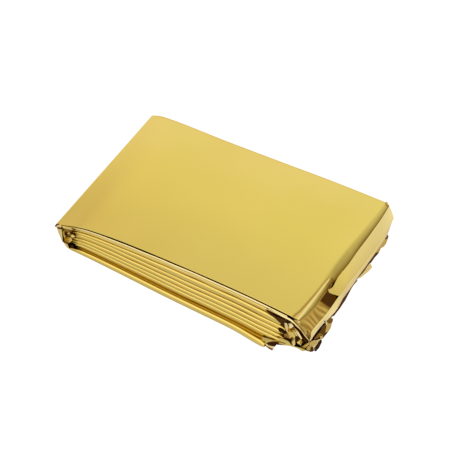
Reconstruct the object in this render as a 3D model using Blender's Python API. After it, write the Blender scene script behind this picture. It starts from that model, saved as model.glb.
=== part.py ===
# Emergency foil blanket, folded into a flat packet and lying on a surface.
#
# The blanket is one sheet of metallised film. It is folded lengthways into a strip of many plies, and
# the strip is folded back and forth into ten layers. The outermost stretch starts under the packet,
# wraps its left end, covers the top and comes down the right end as a bulging wall. The stretches
# inside turn back and forth between the two ends.
#
# Metres, +Z up. X runs along the packet, Y across it with the front at -Y. The origin is the middle of
# the footprint, on the surface that the packet lies on.

import math
from collections import namedtuple

import bmesh
import bpy

MM = 0.001

# Driving sizes of the folded packet
PACKET_LENGTH = 131.0 * MM
PACKET_WIDTH = 85.4 * MM
SHEET = 1.0 * MM            # thickness of the strip where it is pulled tight
SWOLLEN = 1.8 * MM          # thickness of the inner layers where they have room to swell
CLEAR = 0.7 * MM            # space left between two inner layers
NOSE = 0.5 * MM             # how far a long folded edge is drawn out past the full thickness
NOSE_SHARE = 0.4            # thickness left at the tip of that edge
FRONT = -PACKET_WIDTH / 2
BACK = PACKET_WIDTH / 2
LEFT = -PACKET_LENGTH / 2
RIGHT = PACKET_LENGTH / 2
FLOOR_LINE = SHEET / 2      # height of the middle of a sheet that lies on the surface

# The upper side of the packet: distance from the left end, and its height at the front and back edge
Crown = namedtuple("Crown", "along front back")
CROWN = (
    Crown(0.0 * MM, 14.2 * MM, 16.0 * MM),
    Crown(6.0 * MM, 16.6 * MM, 17.0 * MM),
    Crown(14.0 * MM, 19.4 * MM, 17.7 * MM),
    Crown(24.0 * MM, 21.3 * MM, 18.2 * MM),
    Crown(36.5 * MM, 22.4 * MM, 18.8 * MM),
    Crown(58.5 * MM, 23.7 * MM, 20.2 * MM),
    Crown(80.5 * MM, 24.5 * MM, 21.8 * MM),
    Crown(104.0 * MM, 24.9 * MM, 23.4 * MM),
    Crown(131.0 * MM, 23.8 * MM, 24.6 * MM),
)

# The ten layers from the lowest to the top: height as a share of the packet's at its two ends, and how
# far the long edges stand out past the top layer's, at the left end, near the right end and at it
Layer = namedtuple("Layer", "left right front_left front_near front_right back_left back_right")
LAYERS = (
    Layer(0.000, 0.000, 0.2 * MM, 4.0 * MM, 4.2 * MM, 0.2 * MM, -0.6 * MM),
    Layer(0.111, 0.085, 0.3 * MM, 2.2 * MM, -3.0 * MM, -0.4 * MM, 0.3 * MM),
    Layer(0.222, 0.190, 0.2 * MM, 2.8 * MM, -0.6 * MM, 0.1 * MM, -0.5 * MM),
    Layer(0.333, 0.290, 0.4 * MM, 2.3 * MM, 0.2 * MM, -0.5 * MM, 0.2 * MM),
    Layer(0.444, 0.390, 0.1 * MM, 2.1 * MM, 0.6 * MM, 0.3 * MM, -0.8 * MM),
    Layer(0.556, 0.495, 0.3 * MM, 1.6 * MM, 0.3 * MM, -0.3 * MM, 0.1 * MM),
    Layer(0.667, 0.595, 0.2 * MM, 1.4 * MM, 0.7 * MM, 0.2 * MM, -0.4 * MM),
    Layer(0.778, 0.695, 0.4 * MM, 0.9 * MM, 0.2 * MM, -0.6 * MM, 0.3 * MM),
    Layer(0.889, 0.895, 0.2 * MM, 0.5 * MM, 0.3 * MM, 0.1 * MM, -0.3 * MM),
    Layer(1.000, 1.000, 0.0 * MM, 0.0 * MM, 0.0 * MM, 0.0 * MM, 0.0 * MM),
)
NEAR_RIGHT = 50.0 * MM      # where the front_near column holds

# Where the strip turns back: the lower of the two layers, and the middle of the turn
Turn = namedtuple("Turn", "lower x")
LEFT_TURNS = (Turn(1, -58.8 * MM), Turn(3, -60.1 * MM), Turn(5, -61.4 * MM), Turn(7, -62.4 * MM))
RIGHT_TURNS = (Turn(2, 61.6 * MM), Turn(4, 62.2 * MM), Turn(6, 61.2 * MM))
TURN_STEPS = 5
INNER_LAYER = 8
INNER_END = 63.0 * MM       # free end of the strip, inside the right wall

# The outer wrap of the left end, from the surface up to the shoulder
Bend = namedtuple("Bend", "x z")
LEFT_WRAP = (
    Bend(-57.6 * MM, 0.50 * MM),
    Bend(-59.1 * MM, 0.85 * MM),
    Bend(-60.2 * MM, 1.75 * MM),
    Bend(-61.2 * MM, 3.30 * MM),
    Bend(-62.8 * MM, 7.00 * MM),
    Bend(-64.3 * MM, 10.9 * MM),
    Bend(-64.9 * MM, 12.5 * MM),
    Bend(-64.5 * MM, 13.5 * MM),
)

# The wall at the right end, by its place across the packet from front to back: the belly or dent halfway
# down, the rim where it turns under, and its foot
Wall = namedtuple("Wall", "across belly_x belly_z rim_x rim_z foot_x")
WALL = (
    Wall(0.00, 67.6 * MM, 17.0 * MM, 73.4 * MM, 10.4 * MM, 73.2 * MM),
    Wall(0.14, 66.2 * MM, 16.8 * MM, 73.8 * MM, 10.0 * MM, 72.6 * MM),
    Wall(0.24, 65.8 * MM, 16.4 * MM, 73.5 * MM, 9.8 * MM, 71.6 * MM),
    Wall(0.32, 66.2 * MM, 16.2 * MM, 72.6 * MM, 9.4 * MM, 70.2 * MM),
    Wall(0.40, 67.4 * MM, 16.0 * MM, 71.6 * MM, 8.8 * MM, 69.0 * MM),
    Wall(0.48, 68.6 * MM, 15.8 * MM, 70.7 * MM, 8.1 * MM, 68.2 * MM),
    Wall(0.62, 68.8 * MM, 15.4 * MM, 69.4 * MM, 6.8 * MM, 67.4 * MM),
    Wall(0.78, 69.0 * MM, 15.6 * MM, 68.4 * MM, 5.0 * MM, 68.6 * MM),
    Wall(1.00, 69.4 * MM, 16.6 * MM, 67.0 * MM, 4.0 * MM, 65.4 * MM),
)
WALL_STEPS = 4              # short faces between two bends of the wall
WALL_LAYER = 9              # the layer that comes down as the wall
BELLY_BACK = 0.2 * MM       # how far the wall's front edge stands back from the top layer's
RIM_BACK = 1.4 * MM
FOOT_BACK = 4.6 * MM
CREASE_IN = 1.2 * MM        # where the top layer starts to turn down
CREASE_DROP = 0.6 * MM

# The lowest layer stops short of the right end, with a small torn corner left on at its front
LOW_END = 50.4 * MM
TORN_LENGTH = 6.0 * MM
TORN_ACROSS = 0.06          # width of that corner as a share of the strip's
RAMP = (Bend(57.5 * MM, 0.50 * MM), Bend(54.4 * MM, 1.25 * MM))     # the next layer climbs over that end

# The back left corner is rounded
CORNER_START = -57.0 * MM
CORNER_DEPTH = 2.6 * MM

# Places along a layer and across the strip where the sheet has points
ALONG = tuple(x * MM for x in (-56.0, -51.5, -41.5, -29.0, -8.0, 14.0, 34.0, 49.0))
TOP_FIRST = -62.9 * MM      # the top layer has one more point at each end
TOP_LAST = 57.0 * MM
ACROSS = (0.0, 0.03, 0.06, 0.14, 0.24, 0.32, 0.40, 0.48, 0.62, 0.78, 1.0)

SHARP_ANGLE = math.radians(40)
GOLD = (0.83, 0.62, 0.16, 1.0)
GOLD_ROUGHNESS = 0.22

Point = namedtuple("Point", "x z front back thick")


def mix(a, b, share):
    return a + (b - a) * share


def read_rows(rows, key, place, column):
    """Value of a column at a place along a table, straight between the rows."""
    for low, high in zip(rows, rows[1:]):
        a = getattr(low, key)
        b = getattr(high, key)
        if place <= b or high is rows[-1]:
            share = min(max((place - a) / (b - a), 0.0), 1.0)
            return mix(getattr(low, column), getattr(high, column), share)


def crown(x, across):
    """Height of the packet's upper side."""
    along = x - LEFT
    return mix(read_rows(CROWN, "along", along, "front"), read_rows(CROWN, "along", along, "back"), across)


def level(index, x, across):
    """Height of the middle of a layer."""
    layer = LAYERS[index]
    share = mix(layer.left, layer.right, (x - LEFT) / PACKET_LENGTH)
    return FLOOR_LINE + share * (crown(x, across) - SHEET)


def thickness(index, x, across):
    """The outer layers are pulled tight, and the inner ones fill the height that they have."""
    if index in (0, len(LAYERS) - 1):
        return SHEET
    pitch = (crown(x, across) - SHEET) / len(LAYERS)
    return min(max(pitch - CLEAR, SHEET), SWOLLEN)


def front_edge(index, x):
    layer = LAYERS[index]
    if x < NEAR_RIGHT:
        return FRONT - mix(layer.front_left, layer.front_near, (x - LEFT) / (NEAR_RIGHT - LEFT))
    return FRONT - mix(layer.front_near, layer.front_right, min((x - NEAR_RIGHT) / (RIGHT - NEAR_RIGHT), 1.0))


def back_edge(index, x):
    layer = LAYERS[index]
    edge = BACK + mix(layer.back_left, layer.back_right, (x - LEFT) / PACKET_LENGTH)
    corner = min(max((CORNER_START - x) / (CORNER_START - LEFT), 0.0), 1.0)
    return edge - CORNER_DEPTH * corner * corner


def on_layer(index, x, across):
    z = level(index, x, across)
    return Point(x, z, front_edge(index, x), back_edge(index, x), thickness(index, x, across))


def run(index, places, across):
    return [on_layer(index, x, across) for x in places]


def turn(lower, x, side, across):
    """Half circle up to the next layer; side is -1 at the left end and 1 at the right."""
    low = on_layer(lower, x, across)
    high = on_layer(lower + 1, x, across)
    radius = (high.z - low.z) / 2
    points = []
    for step in range(TURN_STEPS + 1):
        share = step / TURN_STEPS
        angle = math.pi * share
        reach = x + side * radius * math.sin(angle)
        z = low.z + radius * (1 - math.cos(angle))
        front = mix(low.front, high.front, share)
        points.append(Point(reach, z, front, mix(low.back, high.back, share), low.thick))
    return points


def curve(a, b, c, d, share):
    """Smooth curve from b to c, which also looks at the bends before and after."""
    return 0.5 * (2 * b + (c - a) * share + (2 * a - 5 * b + 4 * c - d) * share ** 2
                  + (3 * b - a - 3 * c + d) * share ** 3)


def right_wall(across):
    """The top layer's crease, the belly, the rim and the foot, joined by a smooth curve."""
    def at(column):
        return read_rows(WALL, "across", across, column)

    start = on_layer(WALL_LAYER, RIGHT - CREASE_IN, across)
    back = back_edge(1, RIGHT)
    crease = Point(RIGHT, start.z - CREASE_DROP, FRONT, start.back, SHEET)
    belly = Point(at("belly_x"), at("belly_z"), FRONT + BELLY_BACK, start.back, SHEET)
    rim = Point(at("rim_x"), at("rim_z"), FRONT + RIM_BACK, start.back, SHEET)
    foot = Point(at("foot_x"), FLOOR_LINE + SHEET, FRONT + FOOT_BACK, back, SHEET)
    floor = Point(at("foot_x") - 2 * SHEET, FLOOR_LINE, FRONT + FOOT_BACK, back, SHEET)
    bends = [start, crease, belly, rim, foot, floor]
    points = [crease]
    for a, b, c, d in zip(bends, bends[1:], bends[2:], bends[3:]):
        for step in range(1, WALL_STEPS + 1):
            share = step / WALL_STEPS
            points.append(Point(*[curve(*values, share) for values in zip(a, b, c, d)]))
    return [start] + points + [floor]


def section(across):
    """The strip's whole way through the packet at one place across it, as points in order."""
    torn = TORN_LENGTH * math.sqrt(max(1 - across / TORN_ACROSS, 0.0))
    points = [on_layer(0, LOW_END + torn, across)]
    points += run(0, ALONG[::-1], across)
    for place, bend in enumerate(LEFT_WRAP):
        share = place / len(LEFT_WRAP)
        low = on_layer(0, bend.x, across)
        high = on_layer(WALL_LAYER, bend.x, across)
        front = mix(low.front, high.front, share)
        points.append(Point(bend.x, bend.z, front, mix(low.back, high.back, share), SHEET))
    points += run(WALL_LAYER, (TOP_FIRST,) + ALONG + (TOP_LAST,), across)
    points += right_wall(across)
    for bend in RAMP:
        points.append(Point(bend.x, bend.z, front_edge(1, bend.x), back_edge(1, bend.x), SHEET))
    points += run(1, ALONG[::-1], across)
    for number, left in enumerate(LEFT_TURNS):
        points += turn(left.lower, left.x, -1, across)
        points += run(left.lower + 1, ALONG, across)
        if number < len(RIGHT_TURNS):
            right = RIGHT_TURNS[number]
            points += turn(right.lower, right.x, 1, across)
            points += run(right.lower + 1, ALONG[::-1], across)
    points.append(on_layer(INNER_LAYER, INNER_END, across))
    return points


def build_blanket():
    """The strip as one sheet of points, thickened, and drawn thinner along its two long folded edges."""
    mesh = bpy.data.meshes.new("blanket")
    blanket = bpy.data.objects.new("blanket", mesh)
    bpy.context.scene.collection.objects.link(blanket)
    body = blanket.vertex_groups.new(name="thickness")
    bm = bmesh.new()
    weights = bm.verts.layers.deform.verify()
    columns = []

    def add_column(across, out, share):
        """One row of points along the whole strip, with the share of the thickness that they keep."""
        column = []
        for p in section(across):
            vertex = bm.verts.new((p.x, mix(p.front, p.back, across) + out, p.z))
            vertex[weights][body.index] = share * p.thick / SWOLLEN
            column.append(vertex)
        columns.append(column)

    add_column(ACROSS[0], -NOSE, NOSE_SHARE)
    for across in ACROSS:
        add_column(across, 0.0, 1.0)
    add_column(ACROSS[-1], NOSE, NOSE_SHARE)
    for column, following in zip(columns, columns[1:]):
        for a, b, c, d in zip(column, column[1:], following[1:], following):
            bm.faces.new((a, b, c, d))
    bm.to_mesh(mesh)
    bm.free()
    mesh.shade_smooth()
    mesh.set_sharp_from_angle(angle=SHARP_ANGLE)
    thicken = blanket.modifiers.new("thickness", "SOLIDIFY")
    thicken.thickness = SWOLLEN
    thicken.offset = 0.0
    thicken.use_even_offset = True
    thicken.vertex_group = body.name
    return blanket


def gold_film():
    film = bpy.data.materials.new("gold_film")
    film.use_nodes = True
    shader = film.node_tree.nodes["Principled BSDF"]
    shader.inputs["Base Color"].default_value = GOLD
    shader.inputs["Metallic"].default_value = 1.0
    shader.inputs["Roughness"].default_value = GOLD_ROUGHNESS
    return film


for old in list(bpy.data.objects):
    bpy.data.objects.remove(old, do_unlink=True)
build_blanket().data.materials.append(gold_film())
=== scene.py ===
# Emergency foil blanket folded into a flat packet: its film, ridges, creases and crumples.

import math
import random

import bpy
import numpy as np
from mathutils import Matrix


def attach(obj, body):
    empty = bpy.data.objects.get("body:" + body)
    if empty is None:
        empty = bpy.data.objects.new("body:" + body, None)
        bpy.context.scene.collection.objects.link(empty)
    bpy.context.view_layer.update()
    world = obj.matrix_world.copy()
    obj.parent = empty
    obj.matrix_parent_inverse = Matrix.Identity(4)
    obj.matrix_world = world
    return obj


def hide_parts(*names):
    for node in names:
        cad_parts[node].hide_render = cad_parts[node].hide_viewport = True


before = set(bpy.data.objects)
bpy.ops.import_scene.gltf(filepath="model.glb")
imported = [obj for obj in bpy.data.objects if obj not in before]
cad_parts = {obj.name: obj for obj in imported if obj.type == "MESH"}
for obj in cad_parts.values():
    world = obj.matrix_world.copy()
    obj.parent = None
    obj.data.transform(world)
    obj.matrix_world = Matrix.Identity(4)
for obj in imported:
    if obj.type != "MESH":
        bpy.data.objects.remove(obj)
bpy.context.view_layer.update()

mm = 0.001


camera = {
    "azimuth": 31.7,  # degrees, from -Y towards +X
    "elevation": 46.5,
    "distance": 1.533,  # metres from the origin, along the view
    "right": 0.002,  # how far the lens stands off the origin's line of sight
    "up": 0.0078,
    "fieldOfView": 8,
    "sensor": 36,  # mm
    "reach": 20,  # metres that it sees
    "frameSize": 450,  # places across and down its square frame
}


# The camera's axes to its right, up and back, and where it stands.
def cameraStand():
    s = camera
    a = math.radians(s["azimuth"])
    e = math.radians(s["elevation"])
    back = np.array([math.sin(a) * math.cos(e), -math.cos(a) * math.cos(e), math.sin(e)])
    right = np.cross([0, 0, 1], back)
    right /= np.linalg.norm(right)
    up = np.cross(back, right)
    return right, up, back, right * s["right"] + up * s["up"] + back * s["distance"]


def makeCamera():
    s = camera
    right, up, back, place = cameraStand()
    lens = bpy.data.cameras.new("camera")
    lens.sensor_width = s["sensor"]
    lens.lens = s["sensor"] / 2 / math.tan(math.radians(s["fieldOfView"] / 2))
    lens.clip_end = s["reach"]
    eye = bpy.data.objects.new("camera", lens)
    rows = [[right[i], up[i], back[i], place[i]] for i in range(3)]
    eye.matrix_world = Matrix(rows + [[0, 0, 0, 1]])
    bpy.context.scene.collection.objects.link(eye)
    bpy.context.scene.camera = eye


# The point, in mm, where the line of sight through a place of the frame has a size along an axis.
def onSight(across, down, axis, size):
    s = camera
    right, up, back, place = cameraStand()
    eye = place / mm
    middle = s["frameSize"] / 2
    reach = math.tan(math.radians(s["fieldOfView"] / 2)) / middle
    way = (right * (across - middle) - up * (down - middle)) * reach - back
    return eye + way * (size - eye[axis]) / way[axis]


makeCamera()
print("camera set")


# A socket that can be used in plain arithmetic.
class Value:
    def __init__(self, tree, socket):
        self.tree = tree
        self.socket = socket

    def math(self, operation, *others):
        items = dict(enumerate((self,) + others))
        return addNode(self.tree, "Math", {"operation": operation}, items)

    def __add__(self, other):
        return self.math("ADD", other)

    def __sub__(self, other):
        return self.math("SUBTRACT", other)

    def __rsub__(self, other):
        return addNode(self.tree, "Math", {"operation": "SUBTRACT"}, {0: other, 1: self})

    def __mul__(self, other):
        return self.math("MULTIPLY", other)

    def __truediv__(self, other):
        return self.math("DIVIDE", other)

    def __pow__(self, other):
        return self.math("POWER", other)

    __radd__ = __add__
    __rmul__ = __mul__


def feed(socket, item):
    if isinstance(item, Value):
        item.tree.links.new(item.socket, socket)
    else:
        socket.default_value = item


def addNode(tree, kind, settings=None, inputs=None, output=0):
    node = tree.nodes.new("ShaderNode" + kind)
    for name, value in (settings or {}).items():
        if name == "stops":
            ramp = node.color_ramp.elements
            while len(ramp) < len(value):
                ramp.new(1.0)
            for stop, (place, colour) in zip(ramp, value):
                stop.position = place
                stop.color = colour
        else:
            setattr(node, name, value)
    for name, value in (inputs or {}).items():
        feed(node.inputs[name], value)
    return Value(tree, node.outputs[output])


# The colour between a and b; the Mix node's sockets 6 and 7 take colours.
def mixColours(share, a, b):
    return addNode(share.tree, "Mix", {"data_type": "RGBA"}, {0: share, 6: a, 7: b}, 2)


# 0 below low, 1 above high, and soft between them.
def smoothShare(value, low, high):
    return addNode(value.tree, "MapRange", {"interpolation_type": "SMOOTHSTEP"},
                   {"Value": value, "From Min": low, "From Max": high})


# The first axes of a vector, as values.
def axesOf(way, count):
    return [addNode(way.tree, "SeparateXYZ", None, {0: way}, i) for i in range(count)]


studio = {
    "zenith": 1.35,  # brightness of the soft light right above
    "zenithReach": (0.8, 0.93),  # heights between which it fades in
    "darkWay": (0.8, 0.6),  # X and Y of the middle of the dark side of the room
    "darkFade": (0.3, 0.75),  # how near that way it fades in
    "frontFade": (-0.1, 0.3),  # how far to the front the front's light fades in
    # height and colour up the dark side, up the front and up the left
    "darkSide": [
        (0, (0.06, 0.03, 0.014, 1)), (0.22, (0.09, 0.045, 0.02, 1)), (0.36, (0.3, 0.19, 0.09, 1)),
        (0.46, (0.385, 0.3, 0.18, 1)), (0.54, (0.49, 0.46, 0.42, 1)), (0.62, (0.63, 0.6, 0.55, 1)),
        (0.72, (0.88, 0.86, 0.82, 1)), (0.8, (1.02, 1.02, 0.97, 1))],
    "frontSide": [
        (0, (0.74, 0.66, 0.64, 1)), (0.12, (0.85, 0.77, 0.75, 1)), (0.26, (1.08, 0.98, 0.98, 1)),
        (0.42, (1.28, 1.18, 1.2, 1)), (0.62, (1.38, 1.29, 1.36, 1))],
    "leftSide": [
        (0, (1.15, 1.15, 1.4, 1)), (0.2, (1.1, 1.06, 1.2, 1)), (0.34, (0.99, 0.92, 0.92, 1)),
        (0.56, (1.08, 1.02, 1.00, 1)), (0.68, (1.04, 1.04, 0.97, 1))],
    "floorShadowFront": (0.74, 0.72, 0.8, 1),  # glow of the floor in front, dimmed as a painted shadow of the packet, and at the right and behind
    "floorBack": (1.05, 1.05, 1.05, 1),
    "floorWay": (0.75, 0.66),  # X and Y of the way in which one passes into the other
    "floorTurn": (-0.03, 0.06),  # metres from the middle over which it does
    "floorSeen": 1.1,  # the floor's own brightness
    "floorSize": 6,
}


def makeWorld():
    s = studio
    world = bpy.data.worlds.new("studio")
    world.use_nodes = True
    bpy.context.scene.world = world
    tree = world.node_tree
    way = addNode(tree, "TexCoord")
    way = addNode(tree, "VectorMath", {"operation": "NORMALIZE"}, {0: way})
    x, y, z = axesOf(way, 3)
    level = (x * x + y * y + 0.0001) ** 0.5  # never quite 0
    towards = (x * s["darkWay"][0] + y * s["darkWay"][1]) / level
    dark, left, front = [addNode(tree, "ValToRGB", {"stops": s[side]}, {"Fac": z})
                         for side in ("darkSide", "leftSide", "frontSide")]
    room = mixColours(smoothShare(y * -1.0, *s["frontFade"]), left, front)
    room = mixColours(smoothShare(towards, *s["darkFade"]), room, dark)
    above = (s["zenith"],) * 3 + (1,)
    room = mixColours(smoothShare(z, *s["zenithReach"]), room, above)
    feed(tree.nodes["Background"].inputs["Color"], room)


def makeFloor():
    s = studio
    half = s["floorSize"] / 2
    mesh = bpy.data.meshes.new("floor")
    corners = [(-half, -half, 0), (half, -half, 0), (half, half, 0), (-half, half, 0)]
    mesh.from_pydata(corners, [], [(0, 1, 2, 3)])
    floor = bpy.data.objects.new("floor", mesh)
    bpy.context.scene.collection.objects.link(floor)
    paint = bpy.data.materials.new("floor")
    paint.use_nodes = True
    tree = paint.node_tree
    tree.nodes.remove(tree.nodes["Principled BSDF"])
    x, y = axesOf(addNode(tree, "TexCoord", output="Object"), 2)
    # off the floor its glow is dimmer in front, a painted shadow of the packet; straight to the camera it is
    # evenly white
    towards = x * s["floorWay"][0] + y * s["floorWay"][1]
    glow = mixColours(smoothShare(towards, *s["floorTurn"]), s["floorShadowFront"], s["floorBack"])
    lit = addNode(tree, "Emission", None, {"Color": glow})
    seen = addNode(tree, "Emission", None, {"Color": (1, 1, 1, 1), "Strength": s["floorSeen"]})
    straight = addNode(tree, "LightPath", output="Is Camera Ray")
    both = addNode(tree, "MixShader", None, {0: straight, 1: lit, 2: seen})
    feed(tree.nodes["Material Output"].inputs["Surface"], both)
    mesh.materials.append(paint)


makeWorld()
makeFloor()
bpy.context.scene.view_settings.view_transform = "Standard"
print("studio set")


film = {
    # painted light and shade on the film's colour: -1 a painted pale highlight, 0 the film's own gold, 1
    # painted shade in a fold, 2 painted deep shade in a dark gap
    "tones": [
        (0, (0.8, 0.66, 0.27, 1)), (0.333, (0.712, 0.552, 0.105, 1)), (0.667, (0.36, 0.21, 0.035, 1)),
        (1, (0.045, 0.016, 0.006, 1))],
    "cloud": (1.1, 1.12, 1.6),  # how much paler it is in clouds here and there
    "cloudScale": 14,
    "cloudFade": (0.3, 0.75),
    "cloudShare": 0.5,
    "roughness": 0.12,
    "roughnessDrift": 0.05,  # how far that changes with the clouds
    "crumpledRoughness": 0.2,  # added where the film is crumpled
    "coat": 0.35,
    "coatRoughness": 0.05,
    "edgeTint": (0.62, 0.5, 0.42, 1),  # colour of the glancing reflections
    "crinkleSize": 0.006,
    "crinkleDepth": 0.00002,
}


def makeFilm():
    s = film
    gold = bpy.data.materials.new("goldFilm")
    gold.use_nodes = True
    tree = gold.node_tree
    shader = tree.nodes["Principled BSDF"]
    place = addNode(tree, "TexCoord", output="Object")
    cloud = addNode(tree, "TexNoise", None,
                    {"Vector": place, "Scale": s["cloudScale"], "Detail": 2.0, "Roughness": 0.5})
    crinkle = addNode(tree, "TexNoise", None,
                      {"Vector": place, "Scale": 1 / s["crinkleSize"], "Detail": 2.0, "Roughness": 0.45})
    shade = addNode(tree, "Attribute", {"attribute_name": "shade"}, output="Fac")
    crumpled = addNode(tree, "Attribute", {"attribute_name": "crumpled"}, output="Fac")
    # the base colour is the film's gold with painted highlights and painted shade from the shade attribute
    tone = addNode(tree, "ValToRGB", {"stops": s["tones"]}, {"Fac": (shade + 1) / 3})
    paler = addNode(tree, "VectorMath", {"operation": "MULTIPLY"}, {0: tone, 1: s["cloud"]})
    clouded = smoothShare(cloud, *s["cloudFade"]) * s["cloudShare"]
    feed(shader.inputs["Base Color"], mixColours(clouded, tone, paler))
    rough = s["roughness"] + s["roughnessDrift"] * (cloud - 0.5) + crumpled * s["crumpledRoughness"]
    feed(shader.inputs["Roughness"], rough)
    bump = addNode(tree, "Bump", None,
                   {"Height": crinkle * s["crinkleDepth"], "Distance": 1.0, "Strength": 1.0})
    feed(shader.inputs["Normal"], bump)
    bare = (1 - shade.math("MAXIMUM", 0.0)).math("MAXIMUM", 0.0)  # 1 in the open, falling to 0 where painted shade is 1 or more, so the coat fades under painted shade
    feed(shader.inputs["Coat Weight"], s["coat"] * bare)
    shader.inputs["Metallic"].default_value = 1.0
    shader.inputs["Coat Roughness"].default_value = s["coatRoughness"]
    shader.inputs["Specular Tint"].default_value = s["edgeTint"]
    return gold


goldFilm = makeFilm()
print("film mixed")


# Natural cubic spline through a few values, as a function of place.
def smoothCurve(places, values):
    t = np.asarray(places, float)
    y = np.asarray(values, float)
    n = len(t)
    h = np.diff(t)
    a = np.zeros((n, n))
    b = np.zeros(n)
    a[0, 0] = a[-1, -1] = 1
    for i in range(1, n - 1):
        a[i, i - 1:i + 2] = h[i - 1], 2 * (h[i - 1] + h[i]), h[i]
        b[i] = 6 * ((y[i + 1] - y[i]) / h[i] - (y[i] - y[i - 1]) / h[i - 1])
    m = np.linalg.solve(a, b)

    def read(place):
        x = np.clip(place, t[0], t[-1])
        i = np.clip(np.searchsorted(t, x) - 1, 0, n - 2)
        low = (t[i + 1] - x) / h[i]
        high = (x - t[i]) / h[i]
        bend = ((low ** 3 - low) * m[i] + (high ** 3 - high) * m[i + 1]) * h[i] ** 2 / 6
        return low * y[i] + high * y[i + 1] + bend
    return read


# The further columns of a table, read along its first, smoothly or in straight steps.
def readers(rows, smooth=True):
    places, *columns = zip(*rows)
    if smooth:
        return [smoothCurve(places, values) for values in columns]
    return [lambda place, values=values: np.interp(place, places, values) for values in columns]


# The length along a line through points, at each of them.
def lengthAlong(points):
    step = np.hypot(*np.diff(points[:, :2], axis=0).T)
    return np.concatenate([[0], np.cumsum(step)])


# Even rows along a smooth curve through a few rows, whose first two columns are x and z.
def throughPoints(points, count):
    points = np.asarray(points, float)
    along = lengthAlong(points)
    places = np.linspace(0, along[-1], count)
    return np.stack([smoothCurve(along, points[:, i])(places) for i in range(points.shape[1])], 1)


# So many even places from start to end, without the start itself.
def onward(start, end, count):
    return np.linspace(start, end, count + 1)[1:]


# A gentle uneven line of a few sine waves, about -1 to 1.
def waves(seed, count, shortest, longest):
    draw = random.Random(seed)
    parts = []
    for i in range(count):
        length = shortest * (longest / shortest) ** draw.random()
        parts.append((2 * math.pi / length, draw.uniform(0, 2 * math.pi), draw.uniform(0.5, 1)))
    total = sum(p[2] for p in parts)

    def read(x):
        return sum(size * np.sin(x * pace + shift) for pace, shift, size in parts) / total * 1.6
    return read


def eased(value, low, high):
    t = np.clip((value - low) / (high - low), 0, 1)
    return t * t * (3 - 2 * t)


creaseAngle = 38  # degrees at which two faces meet in a crease


# shade is the painted light and shade on the film's colour, one number for each point: below 0 a painted
# highlight, above 0 painted shade.
def makeObject(name, points, faces, shade, smooth=True):
    mesh = bpy.data.meshes.new(name)
    mesh.from_pydata((np.asarray(points, float) * mm).tolist(), [], faces)
    tone = mesh.attributes.new("shade", "FLOAT", "POINT")
    tone.data.foreach_set("value", np.ravel(shade))
    mesh.update()
    if smooth:
        mesh.shade_smooth()
        mesh.set_sharp_from_angle(angle=math.radians(creaseAngle))
    mesh.materials.append(goldFilm)
    piece = bpy.data.objects.new(name, mesh)
    bpy.context.scene.collection.objects.link(piece)
    return piece


# Closed rings round a strip of film, one for each place on its path.
# rows is an array [across, along, (x, z, half thickness, front, back, nose)].
def stripRings(rows, across, noseSteps, lobes=0.0):
    x, z, half, front, back, nose = np.moveaxis(rows, 2, 0)
    dx = np.gradient(x, axis=1)
    dz = np.gradient(z, axis=1)
    size = np.hypot(dx, dz) + 1e-9
    outX, outZ = -dz / size * half, dx / size * half
    share = np.asarray(across)[:, None]
    y = front + (back - front) * share
    upper = np.stack([x + outX, y, z + outZ], 2)
    lower = np.stack([x - outX, y, z - outZ], 2)
    turns = np.linspace(90, -90, noseSteps + 2)[1:-1]

    def edge(at, way):
        arcs = []
        for turn in turns:
            a = math.radians(turn)
            out = math.cos(a) * (1 + lobes * math.cos(3 * a + math.pi))
            arcs.append(np.stack([x[at] + outX[at] * math.sin(a), y[at] + way * nose[at] * out,
                                  z[at] + outZ[at] * math.sin(a)], 1))
        return arcs
    rings = list(upper) + edge(-1, 1) + list(lower[::-1]) + edge(0, -1)[::-1]
    return np.stack(rings, 1)


# The columns of such rings on their upper side, lower side and front edge.
def ringColumns(steps, noseSteps):
    turn = steps + noseSteps
    return slice(0, steps), slice(turn, turn + steps), slice(turn + steps, 2 * turn)


# A piece from such rings, shut at both ends.
def makeRings(name, rings, shade):
    along, around = rings.shape[:2]
    faces = []
    for i in range(along - 1):
        a = i * around
        b = a + around
        for j in range(around):
            k = (j + 1) % around
            faces.append((a + j, a + k, b + k, b + j))
    faces.append(tuple(range(around))[::-1])
    faces.append(tuple(range((along - 1) * around, along * around)))
    return makeObject(name, rings.reshape(-1, 3), faces, shade)


# A thin closed sheet, its thickness set back from a grid of points [row, column, xyz].
def makeSheet(name, grid, thick, shade):
    grid = np.asarray(grid, float)
    rows, columns = grid.shape[:2]
    along = np.gradient(grid, axis=0)
    across = np.gradient(grid, axis=1)
    out = np.cross(across, along)
    out /= np.linalg.norm(out, axis=2)[:, :, None] + 1e-9
    points = np.concatenate([grid.reshape(-1, 3), (grid - out * thick).reshape(-1, 3)])
    half = rows * columns
    faces = []
    for i in range(rows - 1):
        for j in range(columns - 1):
            a = i * columns + j
            faces.append((a, a + 1, a + columns + 1, a + columns))
            faces.append((half + a, half + a + columns, half + a + columns + 1, half + a + 1))
    at = np.arange(half).reshape(rows, columns)
    rim = np.concatenate([at[0], at[1:, -1], at[-1, -2::-1], at[-2:0:-1, 0]]).tolist()
    for a, b in zip(rim, rim[1:] + rim[:1]):
        faces.append((b, a, half + a, half + b))
    return makeObject(name, points, faces, np.tile(shade, 2))


crumple = {
    "frontLow": 0.15,  # lowest height of a facet's front and of its back
    "backLow": 0.1,
    "sideTone": 0.6,  # painted shade on its sides, at least this tone
}


# onSight for a few places, but with no point below low.
def onSights(places, axis, sizes, low):
    points = [onSight(*place, axis, size) for place, size in zip(places, sizes)]
    return [p if p[2] > low else onSight(*place, 2, low) for p, place in zip(points, places)]
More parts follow.
